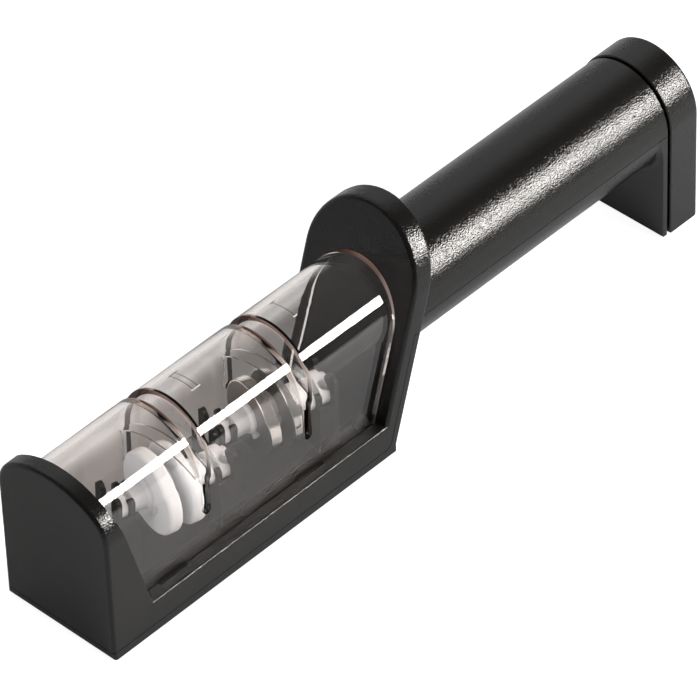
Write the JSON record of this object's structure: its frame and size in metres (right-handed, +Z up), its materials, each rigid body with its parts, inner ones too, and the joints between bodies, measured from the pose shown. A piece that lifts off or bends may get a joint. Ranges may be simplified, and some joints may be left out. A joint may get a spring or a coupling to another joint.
{
  "type": "knife sharpener",
  "caption": "Hand-held roller knife sharpener: clear arched cover with guide slots over skewed grinding wheels, leaning hand guard and round handle ending in a leg.",
  "frame": {"origin": "on the surface it stands on, in the middle of the overall length and width", "axes": "+X along the length, from the front block to the end cap; +Y across; +Z up"},
  "size_m": [0.25, 0.0422, 0.072],
  "materials": {
    "black_plastic": "satin moulded plastic with a fine texture",
    "clear_plastic": "clear, with a faint warm tint",
    "rubber": "matt",
    "screw_steel": "plain",
    "white_plastic": "smooth",
    "white_ceramic": "fine, matt",
    "grit_steel": "coarse grit coating"
  },
  "bodies": {
    "housing": {"base_shell": "black_plastic", "top_shell": "black_plastic", "end_cap": "black_plastic", "wheel_tray": "black_plastic", "sole_pad": "rubber", "heel_pad": "rubber", "base_screws": "screw_steel", "handle_screws": "screw_steel", "cap_screw": "screw_steel"},
    "cover": {"clear_cover": "clear_plastic"},
    "ceramic_wheels": {"ceramic_spindle": "white_plastic", "ceramic_end_hub": "white_plastic", "ceramic_spacer": "white_plastic", "ceramic_wheel_front": "white_ceramic", "ceramic_wheel_rear": "white_ceramic"},
    "diamond_wheels": {"diamond_spindle": "white_plastic", "diamond_end_hub": "white_plastic", "diamond_spacer": "white_plastic", "diamond_wheel_front": "grit_steel", "diamond_wheel_rear": "grit_steel"}
  },
  "joints": [
    {"name": "cover_lift", "type": "slide", "parent": "housing", "child": "cover", "axis": [0, 0, 1], "range_m": [0, 0.068]},
    {"name": "ceramic_wheels_spin", "type": "hinge", "parent": "housing", "child": "ceramic_wheels", "pos_m": [-0.0828, 0, 0.0249], "axis": [0.9715, -0.2368, 0], "continuous": true},
    {"name": "diamond_wheels_spin", "type": "hinge", "parent": "housing", "child": "diamond_wheels", "pos_m": [-0.0421, 0, 0.0249], "axis": [0.9715, -0.2368, 0], "continuous": true}
  ]
}
